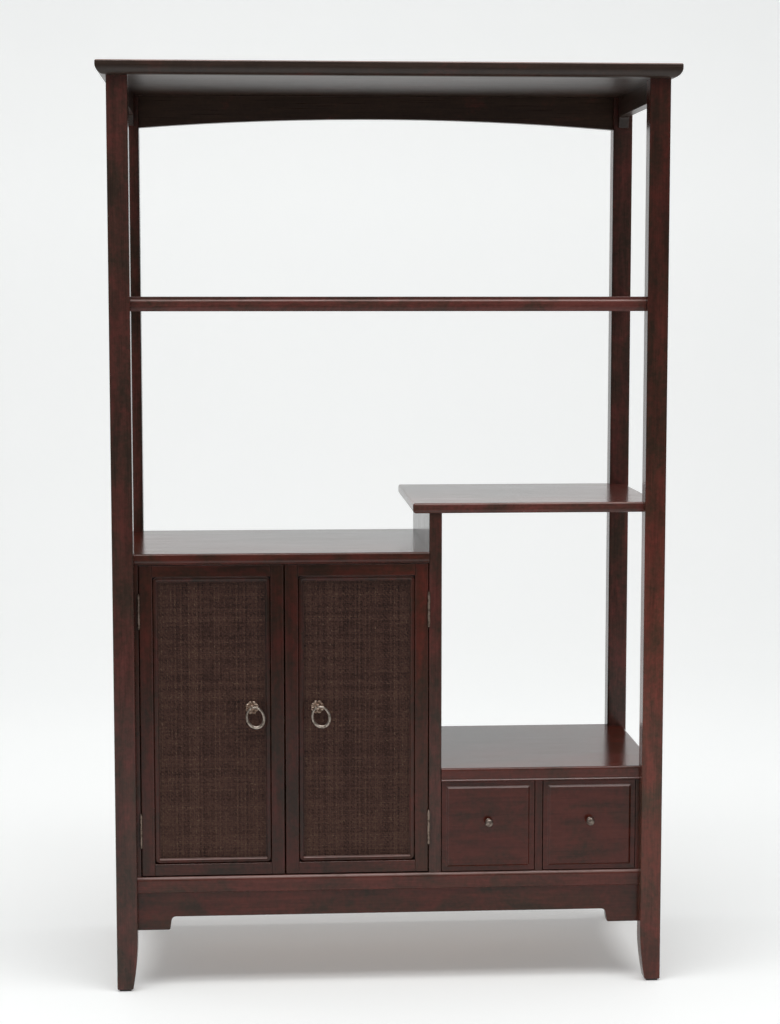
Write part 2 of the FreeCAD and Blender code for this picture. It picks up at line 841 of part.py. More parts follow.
def ring_point(angle):
    """Point and direction of the ring's wire, seen from the oval's middle; angle 0 is the top."""
    lean = math.radians(ring_lean)
    long_part = Vector(-math.sin(lean), 0, math.cos(lean)) * ring_half_height
    short_part = Vector(math.cos(lean), 0, math.sin(lean)) * ring_half_width
    # the oval's topmost point is where its slope is level
    start = math.atan2(ring_half_width * math.sin(lean), ring_half_height * math.cos(lean))
    turn = start + angle
    point = long_part * math.cos(turn) + short_part * math.sin(turn)
    way = short_part * math.cos(turn) - long_part * math.sin(turn)
    return point, way.normalize()


def pull_ring(side):
    """Oval ring that leans a little and grows thicker from the eye to its bottom."""
    eye = Vector(pull_x(side), eye_y, eye_level)
    held_point = ring_point(-math.radians(ring_slip))[0]
    sections = []
    for station in range(ring_stations):
        angle = 2 * math.pi * station / ring_stations
        point, way = ring_point(angle - math.radians(ring_slip))
        across = Vector(-way.z, 0, way.x)
        radius = (ring_thin + (ring_thick - ring_thin) * (1 - math.cos(angle)) / 2) / 2
        sections.append(many_sided(eye + point - held_point, radius, across, Vector(0, 1, 0), ring_sides))
    return skinned(sections + sections[:1], False)


def drawer_span(index):
    """Left and right ends of a drawer; index is 0 for the left one."""
    start = (divider_right if index == 0 else partition_right) + drawer_side_gap
    return start, start + drawer_width


def drawer_bottom_block(index, play):
    """A drawer's bottom panel; play widens it for its grooves."""
    x_low, x_high = drawer_span(index)
    inset = drawer_side_thickness / 2 - play
    low = drawer_box_bottom + drawer_bottom_rise
    return block(x_low + inset, x_high - inset, case_front + drawer_front_thickness - inset,
                 drawer_rear - inset, low, low + drawer_bottom_thickness)


def drawer_front(index):
    """Drawer front with a raised field inside a bevelled border."""
    x_low, x_high = drawer_span(index)
    face_rear = case_front + drawer_front_thickness
    shape = block(x_low, x_high, case_front, face_rear, drawer_front_bottom, drawer_front_top)

    def field_outline(inset, y):
        corners = rectangle(x_low + inset, x_high - inset, drawer_front_bottom + inset,
                            drawer_front_top - inset, 0, 0)
        points = [Vector(x, y, z) for x, z, radius in corners]
        return Part.makePolygon(points + points[:1])

    field = Part.makeLoft([field_outline(field_border, case_front),
                           field_outline(field_border + field_bevel, case_front - field_raise)],
                          True, True)
    return shape.fuse(field).removeSplitter().cut(drawer_bottom_block(index, 0))


def drawer_sides(index):
    """The two sides of a drawer."""
    x_low, x_high = drawer_span(index)
    sides = []
    for start in (x_low, x_high - drawer_side_thickness):
        side = block(start, start + drawer_side_thickness, case_front + drawer_front_thickness,
                     drawer_rear, drawer_box_bottom, drawer_side_top)
        sides.append(side.cut(drawer_bottom_block(index, 0)))
    return Part.Compound(sides)


def drawer_back(index):
    """Back of a drawer, between its sides."""
    x_low, x_high = drawer_span(index)
    shape = block(x_low + drawer_side_thickness, x_high - drawer_side_thickness,
                  drawer_rear - drawer_side_thickness, drawer_rear,
                  drawer_box_bottom, drawer_side_top)
    return shape.cut(drawer_bottom_block(index, 0))


def drawer_knob(index):
    """Small knob: a flat foot, then a neck and a domed head skinned in one run."""
    x_low, x_high = drawer_span(index)
    level = (drawer_front_bottom + drawer_front_top) / 2 + knob_above_middle
    seat = Vector((x_low + x_high) / 2, case_front - field_raise, level)
    head_start = knob_foot_height + knob_neck_length
    widest = head_start + knob_under_length
    shoulder = math.sin(math.pi / 4)
    profile = [(knob_neck_radius, 0), (knob_neck_radius, head_start), (knob_radius, widest),
               (knob_radius * shoulder, widest + knob_dome_length * shoulder),
               (knob_crown_radius, widest + knob_dome_length)]
    sections = [many_sided(seat - Vector(0, out, 0), radius, Vector(1, 0, 0), Vector(0, 0, 1), knob_sides)
                for radius, out in profile]
    plate = prism(seat, knob_foot_radius, Vector(1, 0, 0), Vector(0, 0, 1), knob_sides,
                  Vector(0, -knob_foot_height, 0))
    return plate.fuse(skinned(sections, True)).removeSplitter()


def build():
    """All sub-parts by name."""
    parts = {
        "top_board": top_board(),
        "upper_shelf": upper_shelf(),
        "mid_shelf": mid_shelf(),
        "cupboard_top": cupboard_top(),
        "drawer_case_top": drawer_case_top(),
        "divider": divider(),
        "bottom_board": bottom_board(),
        "bottom_front_rail": bottom_front_rail(),
        "front_apron": front_apron(),
        "lower_rear_rail": lower_rear_rail(),
        "top_rear_apron": top_rear_apron(),
        "cupboard_back": back_panel(-post_inner_x, divider_left, cupboard_underside),
        "drawer_case_back": back_panel(divider_right, post_inner_x, drawer_underside),
        "drawer_partition": drawer_partition(),
        "left_hinge_strip": left_hinge_strip(),
        "right_drawer_strip": right_drawer_strip(),
        "drawer_guide": drawer_guide(),
        "inner_shelf": inner_shelf(),
        "shelf_cleats": shelf_cleats(),
        "foot_glides": foot_glides(),
        "joint_tenons": joint_tenons(),
        "fixed_hinge_leaves": fixed_hinge_leaves(),
        "hinge_pins": hinge_pins(),
        "door_catches": door_catches(),
    }
    for side, side_name in ((-1, "left"), (1, "right")):
        for end, end_name in ((-1, "front"), (1, "rear")):
            parts["post_%s_%s" % (end_name, side_name)] = post(side, end)
        underside = cupboard_underside if side < 0 else drawer_underside
        parts["lower_%s_rail" % side_name] = lower_side_rail(side)
        parts["top_%s_apron" % side_name] = top_side_apron(side)
        parts["%s_side_panel" % side_name] = side_panel(side, underside)
        parts["%s_door_stiles" % side_name] = door_stiles(side)
        parts["%s_door_rails" % side_name] = door_rails(side)
        parts["%s_door_panel" % side_name] = door_panel(side)
        parts["%s_door_bead" % side_name] = door_bead(side)
        parts["%s_door_hinge_leaves" % side_name] = door_hinge_leaves(side)
        parts["%s_strike_plate" % side_name] = strike_plate(side)
        parts["%s_ring_plate" % side_name] = ring_plate(side)
        parts["%s_pull_ring" % side_name] = pull_ring(side)
        index = 0 if side < 0 else 1
        parts["%s_drawer_front" % side_name] = drawer_front(index)
        parts["%s_drawer_sides" % side_name] = drawer_sides(index)
        parts["%s_drawer_back" % side_name] = drawer_back(index)
        parts["%s_drawer_bottom" % side_name] = drawer_bottom_block(index, 0)
        parts["%s_drawer_knob" % side_name] = drawer_knob(index)
    return parts


for name, shape in build().items():
    shape.exportStep("parts/%s.step" % name)
    print("%-26s solids %d  valid %s  volume %.0f"
          % (name, len(shape.Solids), shape.isValid(), shape.Volume))
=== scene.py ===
import json
import math
import bmesh
import bpy
import numpy as np
from mathutils import Matrix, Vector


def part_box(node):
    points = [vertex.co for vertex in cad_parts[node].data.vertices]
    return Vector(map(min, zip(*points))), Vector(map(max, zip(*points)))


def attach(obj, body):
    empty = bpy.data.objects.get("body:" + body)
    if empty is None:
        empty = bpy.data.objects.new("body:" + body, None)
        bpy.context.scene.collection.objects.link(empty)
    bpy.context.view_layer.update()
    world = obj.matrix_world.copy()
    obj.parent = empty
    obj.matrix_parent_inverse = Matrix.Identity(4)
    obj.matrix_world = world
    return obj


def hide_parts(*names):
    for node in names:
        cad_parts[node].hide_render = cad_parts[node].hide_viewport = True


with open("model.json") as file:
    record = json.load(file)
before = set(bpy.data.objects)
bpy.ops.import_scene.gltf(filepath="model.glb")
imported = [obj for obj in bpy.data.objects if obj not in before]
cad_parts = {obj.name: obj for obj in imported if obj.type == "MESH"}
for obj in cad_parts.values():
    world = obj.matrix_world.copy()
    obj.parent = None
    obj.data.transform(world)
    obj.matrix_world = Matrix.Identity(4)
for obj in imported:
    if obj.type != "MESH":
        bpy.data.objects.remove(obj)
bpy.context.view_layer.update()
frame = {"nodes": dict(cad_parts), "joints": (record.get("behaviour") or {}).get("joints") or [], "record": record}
nodeObjects = frame["nodes"]
print("frame loaded:", len(nodeObjects), "nodes")


# Shader sums written as plain expressions

class Signal:
    def __init__(self, tree, socket):
        self.tree = tree
        self.socket = socket

    def combine(self, operation, first, second):
        return self.tree.add("Math", {"operation": operation}, {0: first, 1: second})

    def __add__(self, other):
        return self.combine("ADD", self, other)

    def __sub__(self, other):
        return self.combine("SUBTRACT", self, other)

    def __mul__(self, other):
        return self.combine("MULTIPLY", self, other)


class Finish:
    # one material: "add" makes a node, "link" joins a result to the surface shader
    def __init__(self, name):
        self.material = bpy.data.materials.new(name)
        self.material.use_nodes = True
        self.nodes = self.material.node_tree.nodes
        self.links = self.material.node_tree.links
        self.nodes.clear()
        self.surface = self.nodes.new("ShaderNodeBsdfPrincipled")
        output = self.nodes.new("ShaderNodeOutputMaterial")
        self.links.new(self.surface.outputs[0], output.inputs[0])

    def add(self, kind, settings=None, inputs=None, out=0):
        made = self.nodes.new("ShaderNode" + kind)
        for key, value in (settings or {}).items():
            if key == "stops":
                ramp = made.color_ramp
                while len(ramp.elements) < len(value):
                    ramp.elements.new(0.5)
                for element, (place, colour) in zip(ramp.elements, value):
                    element.position = place
                    element.color = (*colour, 1)
            else:
                setattr(made, key, value)
        for key, value in (inputs or {}).items():
            self.feed(made.inputs[key], value)
        return Signal(self, made.outputs[out])

    def feed(self, socket, value):
        if isinstance(value, Signal):
            self.links.new(value.socket, socket)
        elif socket.type == "RGBA" and len(value) == 3:
            socket.default_value = (*value, 1)
        else:
            socket.default_value = value

    def link(self, **values):
        for key, value in values.items():
            self.feed(self.surface.inputs[key.replace("_", " ")], value)

    def place(self, stretch=(1, 1, 1), shift=(0, 0, 0)):
        spot = self.add("TexCoord", out=3)
        return self.add("Mapping", None, {"Vector": spot, "Scale": stretch, "Location": shift})

    def noise(self, spot, scale, detail=3, rough=0.5, twist=0):
        return self.add("TexNoise", None, {"Vector": spot, "Scale": scale, "Detail": detail,
                                           "Roughness": rough, "Distortion": twist})

    def ramp(self, value, stops):
        return self.add("ValToRGB", {"stops": stops}, {"Fac": value})

    def span(self, value, low, high, start=0, end=1):
        return self.add("MapRange", None, {"Value": value, "From Min": low, "From Max": high,
                                           "To Min": start, "To Max": end})

    def mix(self, share, first, second, way="MIX"):
        return self.add("Mix", {"data_type": "RGBA", "blend_type": way},
                        {0: share, 6: first, 7: second}, out=2)

    def grey(self, value):
        return self.add("CombineColor", None, {0: value, 1: value, 2: value})

    def times(self, colour, factor):
        return self.mix(1.0, colour, factor, "MULTIPLY")

    def part(self, vector, number):
        # one component of a vector: 0 for X, 1 for Y, 2 for Z
        return self.add("SeparateXYZ", None, {0: vector}, out=number)

    def bump(self, height, strength, distance, normal=None):
        inputs = {"Height": height, "Strength": strength, "Distance": distance}
        if normal:
            inputs["Normal"] = normal
        return self.add("Bump", None, inputs)


# Surfaces from numpy grids

def gridFaces(rows, columns, closedRows, closedColumns):
    # quads between neighbouring points of a rows by columns grid
    i = np.arange(rows if closedRows else rows - 1)[:, None]
    j = np.arange(columns if closedColumns else columns - 1)[None, :]
    nextI = (i + 1) % rows
    nextJ = (j + 1) % columns
    quads = np.stack([i * columns + j, nextI * columns + j, nextI * columns + nextJ, i * columns + nextJ],
                     -1)
    return quads.reshape(-1, 4)


def joined(parts):
    # several (points, faces) surfaces as one
    points, faces, start = [], [], 0
    for corners, quads in parts:
        points.append(corners.reshape(-1, 3))
        faces.append(quads + start)
        start += len(points[-1])
    return np.concatenate(points), np.concatenate(faces)


def makePiece(name, surface, body, finish, replaced=(), smoothAngle=35, weld=1e-6):
    # puts a surface into a mesh object that rides on a body
    corners, faces = surface
    mesh = bpy.data.meshes.new(name)
    mesh.from_pydata(corners.reshape(-1, 3).tolist(), [], faces.tolist())
    if weld:
        work = bmesh.new()
        work.from_mesh(mesh)
        bmesh.ops.remove_doubles(work, verts=work.verts, dist=weld)
        bmesh.ops.dissolve_degenerate(work, edges=work.edges, dist=weld)
        bmesh.ops.recalc_face_normals(work, faces=work.faces)
        work.to_mesh(mesh)
        work.free()
    mesh.polygons.foreach_set("use_smooth", np.ones(len(mesh.polygons), bool))
    if smoothAngle:
        mesh.set_sharp_from_angle(angle=math.radians(smoothAngle))
    piece = bpy.data.objects.new(name, mesh)
    bpy.context.collection.objects.link(piece)
    piece.data.materials.append(finish)
    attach(piece, body)
    if replaced:
        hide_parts(*replaced)


def turned(seat, way, across, profile, sides=40, closed=False):
    # revolved surface: point = seat + way * out + (across * cos + third * sin) * radius
    way, across = np.array(way, float), np.array(across, float)
    third = np.cross(way, across)
    profile = np.array(profile, float)
    angle = np.linspace(0, 2 * math.pi, sides, endpoint=False)
    spoke = np.cos(angle)[:, None] * across + np.sin(angle)[:, None] * third
    points = (np.array(seat) + profile[None, :, 1, None] * way
              + profile[None, :, 0, None] * spoke[:, None, :])
    return points, gridFaces(sides, len(profile), True, closed)


def swept(path, sideways, upwards, profile, scale=1.0):
    # profile carried round a closed path: point = path + (sideways * a + upwards * b) * scale
    profile = np.array(profile, float)
    scale = np.broadcast_to(scale, (len(path),))[:, None, None]
    offset = (profile[None, :, 0, None] * sideways[:, None, :]
              + profile[None, :, 1, None] * upwards[:, None, :])
    return path[:, None, :] + offset * scale, gridFaces(len(path), len(profile), True, True)


def circle(sides, radius=1.0):
    angle = np.linspace(0, 2 * math.pi, sides, endpoint=False)
    return np.stack([np.cos(angle), np.sin(angle)], -1) * radius


def rounded(points, steps=5, share=0.28):
    # profile whose inner corners are eased by short quadratic curves
    points = np.array(points, float)
    t = np.linspace(0, 1, steps)[:, None]
    runs = [points[:1]]
    for before, corner, after in zip(points[:-2], points[1:-1], points[2:]):
        start = corner + (before - corner) * share
        end = corner + (after - corner) * share
        runs.append((1 - t) ** 2 * start + 2 * t * (1 - t) * corner + t ** 2 * end)
    runs.append(points[-1:])
    return np.concatenate(runs)


def boxSurface(low, high, bevel):
    # box whose rows are rounded rectangles, drawn in at both ends by the bevel
    low, high = np.array(low, float), np.array(high, float)
    middle, half = (low + high) / 2, (high - low) / 2
    quarter = np.linspace(0, math.pi / 2, 4)
    turns = np.concatenate([quarter + k * math.pi / 2 for k in range(4)])
    signX = np.repeat([1, -1, -1, 1], 4)
    signZ = np.repeat([1, 1, -1, -1], 4)
    rows = []
    for inset, y in ((None, -half[1]), (bevel, -half[1]), (0, -half[1] + bevel), (0, half[1] - bevel),
                     (bevel, half[1]), (None, half[1])):
        if inset is None:
            x, z = np.zeros(16), np.zeros(16)
        else:
            x = signX * (half[0] - bevel) + np.cos(turns) * (bevel - inset)
            z = signZ * (half[2] - bevel) + np.sin(turns) * (bevel - inset)
        rows.append(np.stack([middle[0] + x, np.full(16, middle[1] + y), middle[2] + z], -1))
    return np.stack(rows), gridFaces(6, 16, False, True)


# Finishes

# edge is the pale colour of rubbed edges and of the painted highlight on bevels that lean upwards
lacquer = {"red": (0.083, 0.0195, 0.0135), "umber": (0.044, 0.0215, 0.0125),
           "deep": (0.014, 0.006, 0.005), "edge": (0.34, 0.225, 0.20), "ior": 1.35, "round": 0.0016}
dryLacquer = {**lacquer, "umber": (0.044, 0.0250, 0.0170), "red": (0.083, 0.0238, 0.0188)}
richLacquer = {**lacquer, "umber": (0.044, 0.0192, 0.0097), "red": (0.083, 0.0170, 0.0106)}
plainWood = {"red": (0.275, 0.158, 0.086), "umber": (0.235, 0.133, 0.073), "deep": (0.14, 0.075, 0.04),
             "edge": (0.40, 0.26, 0.16), "ior": 1.4, "round": 0.001}

# noises are (scale, detail, roughness, distortion), spans (from low, from high, to low, to high),
# and "long", "longer" and "longest" are how far a noise is drawn out along the grain
wood = {"patch": (15, 4, 0.62, 0.9), "figure": (55, 4, 0.62, 0.5), "mottle": (130, 4, 0.65),
        "streak": (420, 3, 0.6), "pores": (1500, 2, 0.5), "long": 0.6, "longer": 0.12, "longest": 0.02,
        "umberBelow": 0.41, "redAbove": 0.59, "light": (0.40, 0.60, 0.72, 1.27),
        "floorLift": (0.0, 1.3, 1.2, 0.93), "doorsAcross": (-0.434, 0.067), "postsUp": (0.0, 1.6),
        "poreSpan": (0.56, 0.68), "poreShare": 0.28, "turned": (0.99, 0.88), "turnedShare": 0.2,
        "leanStarts": (0.25, 0.55), "leanEnds": (0.97, 0.85), "rubbedPatch": (0.35, 0.6, 0.65, 1.0),
        "streakSpan": (0.3, 0.7), "duller": 0.06, "glossier": 0.04, "streakRelief": 0.7,
        "poreRelief": 0.3, "bump": 0.1, "bumpDepth": 0.0005}


def stretched(grain, share):
    # noise scale on each axis, drawn out along the grain
    return tuple(share if axis == grain else 1 for axis in "xyz")


def woodFinish(name, grain, tone, lift=1.0, redness=0.0, gloss=0.16, shift=(0, 0, 0), boards=None,
               paleShare=0.6, heights=None):
    # soft red and umber patches under fibres that run along one axis; edges are drawn paler, partly as
    # rubbed wear and, on bevels that lean upwards, as a painted highlight from the lamp above; the tone
    # lifts towards the floor as painted bounce light; boards change the tone across the doors, and
    # heights paint light and shade up a post
    finish = Finish(name)
    umber, red = (tuple(lift * value for value in tone[key]) for key in ("umber", "red"))
    patch = finish.noise(finish.place(stretched(grain, wood["long"]), shift), *wood["patch"])
    figure = finish.noise(finish.place(stretched(grain, wood["longer"]), shift), *wood["figure"])
    streak = finish.noise(finish.place(stretched(grain, wood["longest"])), *wood["streak"])
    pores = finish.noise(finish.place(stretched(grain, wood["longest"])), *wood["pores"])
    mottle = finish.noise(finish.place(shift=shift), *wood["mottle"])
    share = finish.span(patch * 0.55 + figure * 0.2 + mottle * 0.25,
                        wood["umberBelow"] - redness, wood["redAbove"] - redness)
    colour = finish.mix(share, umber, red)
    light = finish.span(figure * 0.4 + streak * 0.2 + patch * 0.2 + mottle * 0.2, *wood["light"])
    colour = finish.times(colour, finish.grey(light))
    spot = finish.add("TexCoord", out=3)
    level = finish.part(spot, 2)
    # painted bounce light: the wood is drawn brighter towards the floor
    colour = finish.times(colour, finish.grey(finish.span(level, *wood["floorLift"])))
    # across the doors the boards change tone; up a post the heights paint light and shade
    across = finish.span(finish.part(spot, 0), *wood["doorsAcross"])
    for way, stops in ((across, boards), (finish.span(level, *wood["postsUp"]), heights)):
        if stops:
            tones = finish.ramp(way, [(place, (value, value, value)) for place, value in stops])
            colour = finish.times(colour, tones)
    dark = finish.span(pores, *wood["poreSpan"])
    colour = finish.mix(dark * wood["poreShare"], colour, tone["deep"])
    soft = finish.add("Bevel", {"samples": 4}, {"Radius": tone["round"]})
    flat = finish.add("NewGeometry", out="Normal")
    turn = finish.add("VectorMath", {"operation": "DOT_PRODUCT"}, {0: soft, 1: flat}, out="Value")
    facing = finish.part(soft, 2)
    # paler edges: rubbed wear where the surface turns sharply, plus a painted highlight on bevels that lean
    # upwards, weighted by paleShare
    lean = finish.span(facing, *wood["leanStarts"]) * finish.span(facing, *wood["leanEnds"])
    wornAndLitEdges = finish.span(turn, *wood["turned"]) * wood["turnedShare"] + lean * paleShare
    colour = finish.mix(wornAndLitEdges * finish.span(patch, *wood["rubbedPatch"]), colour, tone["edge"])
    rough = finish.span(streak, *wood["streakSpan"], gloss - wood["glossier"], gloss + wood["duller"])
    finish.link(Base_Color=colour, IOR=tone["ior"], Roughness=rough)
    relief = streak * wood["streakRelief"] - dark * wood["poreRelief"]
    finish.link(Normal=finish.bump(relief, wood["bump"], wood["bumpDepth"], soft))
    return finish.material


# tone across the two doors; painted light up the right front post, brighter low down as if lit from the floor,
# darker at its foot and towards its top
doorBoards = ((0.0, 0.84), (0.40, 0.61), (0.60, 0.63), (1.0, 1.0))
postHeights = ((0.04, 0.61), (0.12, 0.84), (0.20, 0.94), (0.28, 1.0), (0.36, 0.97), (0.44, 0.90),
               (0.52, 0.71), (0.60, 0.62), (0.69, 0.55), (0.81, 0.45), (1.0, 0.44))

# each kind of board: its tone, then woodFinish's lift, redness, gloss, shift and what follows them
kinds = {"post": (dryLacquer, 0.98, 0.0, 0.17, (0.1, 0.3, 0.0)),
         "rearPost": (dryLacquer, 1.25, 0.0, 0.17, (0.1, 0.3, 0.0)),
         "rightPost": (lacquer, 1.7, 0.0, 0.17, (0.1, 0.3, 0.0), None, 0.6, postHeights),
         "top": ({**dryLacquer, "ior": 1.42}, 0.83, -0.12, 0.31, (2.3, 0.4, 1.0)),
         "rear": (dryLacquer, 1.2, -0.15, 0.3, (1.3, 2.4, 1.0)),
         "shelf": ({**dryLacquer, "ior": 1.38}, 1.45, 0.04, 0.17, (4.1, 0.2, 0.5)),
         "door": (richLacquer, 0.86, 0.0, 0.18, (1.7, 2.2, 0.3), doorBoards),
         "drawer": (richLacquer, 0.755, 0.06, 0.18, (3.2, 1.1, 0.9)),
         "case": ({**richLacquer, "ior": 1.4}, 0.90, 0.05, 0.17, (3.7, 2.1, 0.4), None, 0.2),
         "rail": (lacquer, 0.98, 0.06, 0.17, (2.3, 1.6, 0.7)),
         # the apron is drawn darker than the rail, partly painted shade under the rail's nose
         "apron": (richLacquer, 0.78, 0.0, 0.2, (5.3, 0.6, 0.2))}
made = {}


def lacquered(kind, grain):
    if (kind, grain) not in made:
        name = "lacquered" + kind.capitalize() + grain.upper()
        made[kind, grain] = woodFinish(name, grain, *kinds[kind])
    return made[kind, grain]


innerWood = woodFinish("innerWoodPlain", "x", plainWood, gloss=0.55)

metal = {"patch": (210, 3, 0.55), "scratch": (1400, 2, 0.5), "drawnOut": (1, 1, 0.15), "wornFrom": 0.62,
         "wornTo": 0.78, "patchSpan": (0.3, 0.7), "duller": 0.1, "glossier": 0.08, "bump": 0.2,
         "bumpDepth": 0.0002}


def metalFinish(name, base, worn, rough, share):
    # dull skin, rubbed bright in patches, with fine scratches
    finish = Finish(name)
    patch = finish.noise(finish.place(), *metal["patch"])
    scratch = finish.noise(finish.place(metal["drawnOut"]), *metal["scratch"])
    paleShare = finish.span(patch, metal["wornFrom"] - share, metal["wornTo"] - share)
    dull = finish.span(patch, *metal["patchSpan"], rough + metal["duller"], rough - metal["glossier"])
    finish.link(Base_Color=finish.mix(paleShare, base, worn), Metallic=1.0, Roughness=dull)
    finish.link(Normal=finish.bump(scratch + patch, metal["bump"], metal["bumpDepth"]))
    return finish.material


rosetteBrass = metalFinish("agedBrassWarm", (0.22, 0.145, 0.105), (0.50, 0.385, 0.31), 0.36, 0.16)
ringBrass = metalFinish("agedBrassPale", (0.23, 0.19, 0.155), (0.45, 0.385, 0.33), 0.34, 0.22)
hingeBrass = metalFinish("agedBrassDull", (0.13, 0.094, 0.072), (0.27, 0.205, 0.165), 0.46, 0.22)
knobBrass = metalFinish("agedBrassGrey", (0.15, 0.115, 0.097), (0.28, 0.23, 0.195), 0.46, 0.2)
zincSteel = metalFinish("zincSteel", (0.55, 0.55, 0.56), (0.68, 0.68, 0.68), 0.38, 0.25)


def plasticFinish():
    finish = Finish("darkPlastic")
    grain = finish.noise(finish.place(), 2600, 2, 0.5)
    colour = finish.mix(grain, (0.022, 0.014, 0.011), (0.04, 0.027, 0.021))
    finish.link(Base_Color=colour, Roughness=0.55, Normal=finish.bump(grain, 0.1, 0.0001))
    return finish.material


darkPlastic = plasticFinish()

cane = {"pitch": 0.0034, "dark": (0.014, 0.0062, 0.0050), "body": (0.060, 0.0275, 0.0205),
        "warm": (0.10, 0.052, 0.036), "pale": (0.26, 0.17, 0.115), "stops": (0.22, 0.46, 0.74),
        "fibre": (1500, 3, 0.65), "cloud": (30, 4, 0.65, 0.5), "speck": (420, 2, 0.5),
        "long": 0.12, "short": 0.4, "cloudShift": (0.4, 0, 0.7), "lower": (0.7, 0.25, -0.02, 0.06),
        "strandShare": {"x": 0.24, "z": 0.3}, "level": 0.04, "fleckSpeck": (0.62, 0.72),
        "fleckStrand": (0.45, 0.9), "fleckShare": 0.45, "rough": (0.3, 0.7, 0.45, 0.65),
        "shine": 0.15, "bump": 0.25, "bumpDepth": 0.0003}


def caneFinish(name, grain):
    # every strand has its own tone, drawn from its number, and pale flecks along it
    finish = Finish(name)
    spot = finish.add("TexCoord", out=3)
    axis = finish.part(spot, 2 if grain == "x" else 0)
    number = finish.add("Math", {"operation": "FLOOR"}, {0: axis * (1 / cane["pitch"])})
    tone = finish.add("TexWhiteNoise", {"noise_dimensions": "1D"}, {"W": number})
    fibre = finish.noise(finish.place(stretched(grain, cane["long"])), *cane["fibre"])
    cloud = finish.noise(finish.place(shift=cane["cloudShift"]), *cane["cloud"])
    speck = finish.noise(finish.place(stretched(grain, cane["short"])), *cane["speck"])
    lower = finish.span(finish.part(spot, 2), *cane["lower"])
    shade = fibre * 0.5 + (tone - 0.5) * cane["strandShare"][grain] + cloud * 0.35
    shade = shade + (speck - 0.5) * 0.85 + lower + cane["level"]
    colour = finish.ramp(shade, list(zip(cane["stops"], (cane["dark"], cane["body"], cane["warm"]))))
    flecks = finish.span(speck, *cane["fleckSpeck"]) * finish.span(tone, *cane["fleckStrand"])
    colour = finish.mix(flecks * cane["fleckShare"], colour, cane["pale"])
    finish.link(Base_Color=colour, Roughness=finish.span(fibre, *cane["rough"]),
                Specular_IOR_Level=cane["shine"])
    finish.link(Normal=finish.bump(fibre, cane["bump"], cane["bumpDepth"]))
    return finish.material


caneWeftFinish = caneFinish("caneWeftStrands", "x")
caneWarpFinish = caneFinish("caneWarpStrands", "z")


def shadeSheetFinish():
    # near-black sheet behind the weave: painted shade standing in for the dim cupboard seen through the gaps
    finish = Finish("caneBacking")
    grain = finish.noise(finish.place((0.1, 1, 1)), 300, 3, 0.5)
    colour = finish.mix(grain, (0.008, 0.0045, 0.004), (0.02, 0.011, 0.009))
    finish.link(Base_Color=colour, Roughness=0.7)
    return finish.material


caneBacking = shadeSheetFinish()
print("finishes made")

# CAD nodes that keep their shape

slotOf = {row["node"]: row["material_slot"] for row in frame["record"]["subparts"]}
uprightNodes = ("post_", "divider", "door_stiles", "drawer_partition", "hinge_strip", "drawer_strip",
                "side_panel", "door_bead")
deepNodes = ("lower_left_rail", "lower_right_rail", "top_left_apron", "top_right_apron")

# the first word that a node's name holds gives its kind of board
kindWords = (("door", "door"), ("drawer_front", "drawer"), ("drawer_partition", "drawer"),
             ("top_rear", "rear"), ("top_", "top"), ("shelf", "shelf"), ("cupboard_top", "case"),
             ("drawer_case_top", "case"), ("post_front_right", "rightPost"), ("post_rear", "rearPost"),
             ("post_", "post"), ("divider", "post"), ("bottom_front_rail", "rail"))
plainSlots = {"inner_wood": innerWood, "antique_brass": hingeBrass, "steel": zincSteel,
              "dark_plastic": darkPlastic, "woven_cane": caneBacking}


def woodFor(node):
    grain = "x"
    if any(word in node for word in uprightNodes):
        grain = "z"
    elif node in deepNodes:
        grain = "y"
    return lacquered(next((kind for word, kind in kindWords if word in node), "apron"), grain)


for node, item in nodeObjects.items():
    finish = plainSlots.get(slotOf[node]) or woodFor(node)
    item.data.materials.clear()
    item.data.materials.append(finish)
print("nodes finished")

# Moulded front edge of the upper shelf, and the strip in the gap above the doors

shelfTrim = {"spare": 0.0001, "ease": 0.0004, "smooth": 50,
             "outline": ((-6, -2.1), (2.6, -2.1), (3.2, -1.5), (3.2, 14.3), (2.9, 15.5), (2.0, 16.5),
                         (0.9, 16.9), (0.3, 17.9), (0.2, 19.5), (0.5, 21.0), (1.2, 22.0), (1.3, 22.5),
                         (0.8, 22.9), (-6, 22.9))}
headStrip = {"spare": 0.0001, "ease": 0.0003, "smooth": 50,
             "outline": ((-6, 0.7), (-0.9, 0.7), (-0.5, 1.0), (-0.4, 1.6), (-0.4, 2.8), (-6, 2.8))}


def carriedAlong(strip, left, right, front, base):
    # one closed outline, in millimetres in front of and above a long edge, carried along that edge
    # and drawn together to its middle at both ends
    outline = np.array(strip["outline"]) / 1000
    middle = np.broadcast_to((outline.min(0) + outline.max(0)) / 2, outline.shape)
    left, right = left + strip["spare"], right - strip["spare"]
    rows = []
    for x, shape in ((left, middle), (left, outline), (right, outline), (right, middle)):
        rows.append(np.stack([np.full(len(shape), x), front - shape[:, 0], base + shape[:, 1]], -1))
    return np.stack(rows), gridFaces(4, len(outline), False, True)


